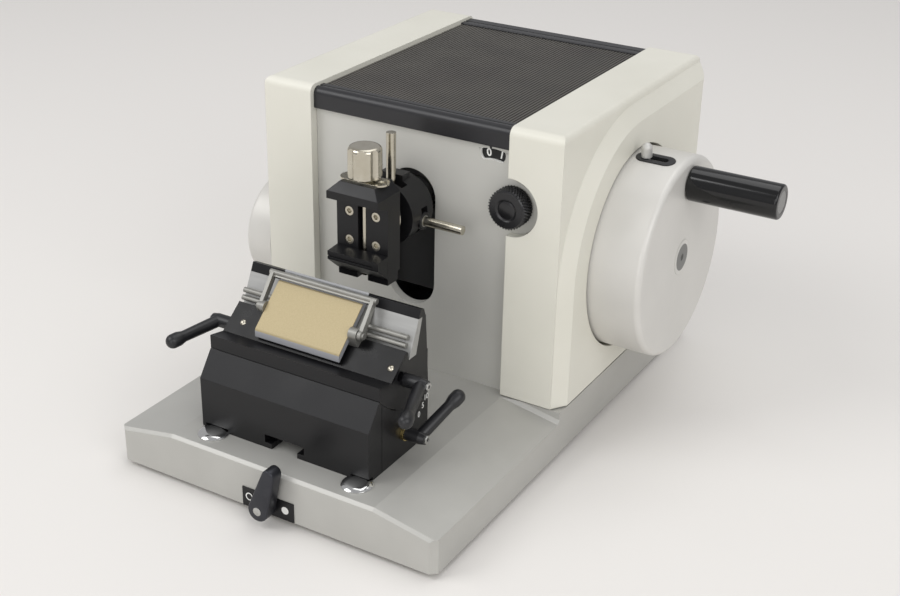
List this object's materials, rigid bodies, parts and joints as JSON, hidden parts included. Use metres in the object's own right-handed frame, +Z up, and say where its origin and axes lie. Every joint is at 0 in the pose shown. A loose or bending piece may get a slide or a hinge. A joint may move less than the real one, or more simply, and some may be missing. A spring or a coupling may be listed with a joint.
{
  "type": "rotary microtome",
  "caption": "Rotary microtome with a side handwheel, vertical specimen stroke, tilting knife holder with a clamped disposable blade, section thickness knob and ribbed tray on top.",
  "frame": {"origin": "middle of the base plate's underside", "axes": "+Z up, +X towards the handwheel side, -Y towards the operator"},
  "size_m": [0.4539, 0.4816, 0.2809],
  "materials": {
    "grey_paint": "satin painted",
    "cream_cover": "satin",
    "foot_rubber": "matte",
    "mat_rubber": "matte",
    "black_trim": "satin",
    "casting": "matte",
    "steel": "ground",
    "nickel": "polished",
    "wheel_paint": "satin painted",
    "black_paint": "satin",
    "black_plastic": "satin",
    "gold_plate": "satin"
  },
  "bodies": {
    "stand": {"base_plate": "grey_paint", "rubber_feet": "foot_rubber", "left_cover": "cream_cover", "right_cover": "cream_cover", "front_plate": "grey_paint", "top_pan": "grey_paint", "top_mat": "mat_rubber", "front_trim": "black_trim", "rear_trim": "black_trim", "rear_panel": "grey_paint", "main_casting": "casting", "shaft_bearings": "steel", "slide_rails": "steel", "holder_guide": "steel", "lever_plate": "black_paint", "panel_screws": "steel"},
    "handwheel": {"handwheel": "wheel_paint", "drive_shaft": "steel", "crank_disc": "steel", "hub_cap": "wheel_paint", "handle_axle": "steel", "lock_plate": "black_paint"},
    "grip": {"handle_grip": "black_plastic"},
    "lock": {"lock_pin": "nickel"},
    "knob": {"setting_knob": "black_plastic", "setting_pinion": "steel"},
    "dial": {"setting_dial": "black_trim"},
    "carriage": {"slide_carriage": "casting", "slot_shield": "black_trim"},
    "head": {"feed_quill": "steel", "head_barrel": "black_paint"},
    "coarse": {"coarse_wheel": "wheel_paint", "coarse_shaft": "steel"},
    "release": {"release_ring": "nickel"},
    "orient": {"orient_ring": "nickel"},
    "tilt": {"tilt_ring": "steel"},
    "clamp": {"clamp_body": "black_paint", "clamp_ball": "steel", "jaw_screws": "steel", "keeper_plate": "nickel"},
    "clamp_screw": {"clamp_knob": "nickel", "clamp_spindle": "nickel"},
    "jaw": {"lower_jaw": "black_paint"},
    "holder": {"holder_base": "black_paint", "seat_pads": "nickel"},
    "base_lever": {"base_lever": "black_paint"},
    "segment": {"holder_segment": "black_paint", "guard_plate": "black_paint", "guard_screws": "steel", "back_plate": "steel", "back_strip": "black_paint", "shift_rods": "steel"},
    "blade_lever": {"blade_lever": "black_plastic"},
    "shift_lever": {"shift_lever": "black_plastic"},
    "tilt_lever": {"tilt_lever": "black_plastic"},
    "blade_unit": {"blade_carriage": "black_paint", "blade": "steel"},
    "press": {"pressure_plate": "gold_plate"},
    "finger": {"finger_guard": "steel"}
  },
  "joints": [
    {"name": "handwheel_spin", "type": "hinge", "parent": "stand", "child": "handwheel", "pos_m": [0.19, 0.0889, 0.1441], "axis": [1, 0, 0], "continuous": true},
    {"name": "grip_spin", "type": "hinge", "parent": "handwheel", "child": "grip", "pos_m": [0.234, 0.09417, 0.20959], "axis": [1, 0, 0], "continuous": true},
    {"name": "lock_slide", "type": "slide", "parent": "handwheel", "child": "lock", "axis": [1, 0, 0], "range_m": [0, 0.016]},
    {"name": "knob_spin", "type": "hinge", "parent": "stand", "child": "knob", "pos_m": [0.0965, -0.045, 0.21], "axis": [0, -1, 0], "range_deg": [0, 900]},
    {"name": "dial_spin", "type": "hinge", "parent": "stand", "child": "dial", "pos_m": [0.0755, -0.024, 0.21], "axis": [0, -1, 0], "range_deg": [0, 300]},
    {"name": "lift_slide", "type": "slide", "parent": "stand", "child": "carriage", "axis": [0, 0, 1], "range_m": [-0.07, 0]},
    {"name": "feed_slide", "type": "slide", "parent": "carriage", "child": "head", "axis": [0, -1, 0], "range_m": [-0.008, 0.02]},
    {"name": "coarse_spin", "type": "hinge", "parent": "stand", "child": "coarse", "pos_m": [-0.166, 0.027, 0.111], "axis": [1, 0, 0], "range_deg": [-288, 720]},
    {"name": "release_turn", "type": "hinge", "parent": "head", "child": "release", "pos_m": [0, -0.0597, 0.194], "axis": [0, 1, 0], "range_deg": [-15, 15]},
    {"name": "orient_turn", "type": "hinge", "parent": "head", "child": "orient", "pos_m": [0, -0.051, 0.194], "axis": [0, 1, 0], "range_deg": [-15, 15]},
    {"name": "clamp_swing", "type": "hinge", "parent": "head", "child": "tilt", "pos_m": [0, -0.06, 0.194], "axis": [0, 0, 1], "range_deg": [-8, 8]},
    {"name": "clamp_nod", "type": "hinge", "parent": "tilt", "child": "clamp", "pos_m": [0, -0.06, 0.194], "axis": [1, 0, 0], "range_deg": [-8, 8]},
    {"name": "clamp_screw_turn", "type": "hinge", "parent": "clamp", "child": "clamp_screw", "pos_m": [0, -0.0969, 0.24], "axis": [0, 0, 1], "range_deg": [0, 6480]},
    {"name": "jaw_slide", "type": "slide", "parent": "clamp", "child": "jaw", "axis": [0, 0, 1], "range_m": [0, 0.0361]},
    {"name": "holder_slide", "type": "slide", "parent": "stand", "child": "holder", "axis": [0, -1, 0], "range_m": [-0.004, 0.015]},
    {"name": "base_lever_turn", "type": "hinge", "parent": "stand", "child": "base_lever", "pos_m": [0, -0.24, 0.0105], "axis": [0, 1, 0], "range_deg": [-107, 72]},
    {"name": "blade_angle", "type": "hinge", "parent": "holder", "child": "segment", "pos_m": [0, -0.138, 0.15], "axis": [1, 0, 0], "range_deg": [-4, 4]},
    {"name": "blade_lever_turn", "type": "hinge", "parent": "segment", "child": "blade_lever", "pos_m": [-0.095, -0.1635, 0.1115], "axis": [-1, 0, 0], "range_deg": [0, 90]},
    {"name": "shift_lever_turn", "type": "hinge", "parent": "segment", "child": "shift_lever", "pos_m": [0.09, -0.157, 0.106], "axis": [1, 0, 0], "range_deg": [-50, 30]},
    {"name": "tilt_lever_turn", "type": "hinge", "parent": "holder", "child": "tilt_lever", "pos_m": [0.09, -0.158, 0.06], "axis": [1, 0, 0], "range_deg": [-40, 30]},
    {"name": "blade_shift", "type": "slide", "parent": "segment", "child": "blade_unit", "axis": [1, 0, 0], "range_m": [-0.02, 0.035]},
    {"name": "press_turn", "type": "hinge", "parent": "blade_unit", "child": "press", "pos_m": [-0.012, -0.1588, 0.1326], "axis": [1, 0, 0], "range_deg": [0, 3.01]},
    {"name": "finger_guard_turn", "type": "hinge", "parent": "blade_unit", "child": "finger", "pos_m": [-0.012, -0.16, 0.134], "axis": [1, 0, 0], "range_deg": [0, 140]}
  ],
  "couplings": [
    {"joint": "dial_spin", "follows": "knob_spin", "ratio": 0.33333},
    {"joint": "feed_slide", "follows": "coarse_spin", "m_per_rad": 0.00159},
    {"joint": "jaw_slide", "follows": "clamp_screw_turn", "m_per_rad": 0.000318},
    {"joint": "press_turn", "follows": "blade_lever_turn", "ratio": 0.033333}
  ]
}
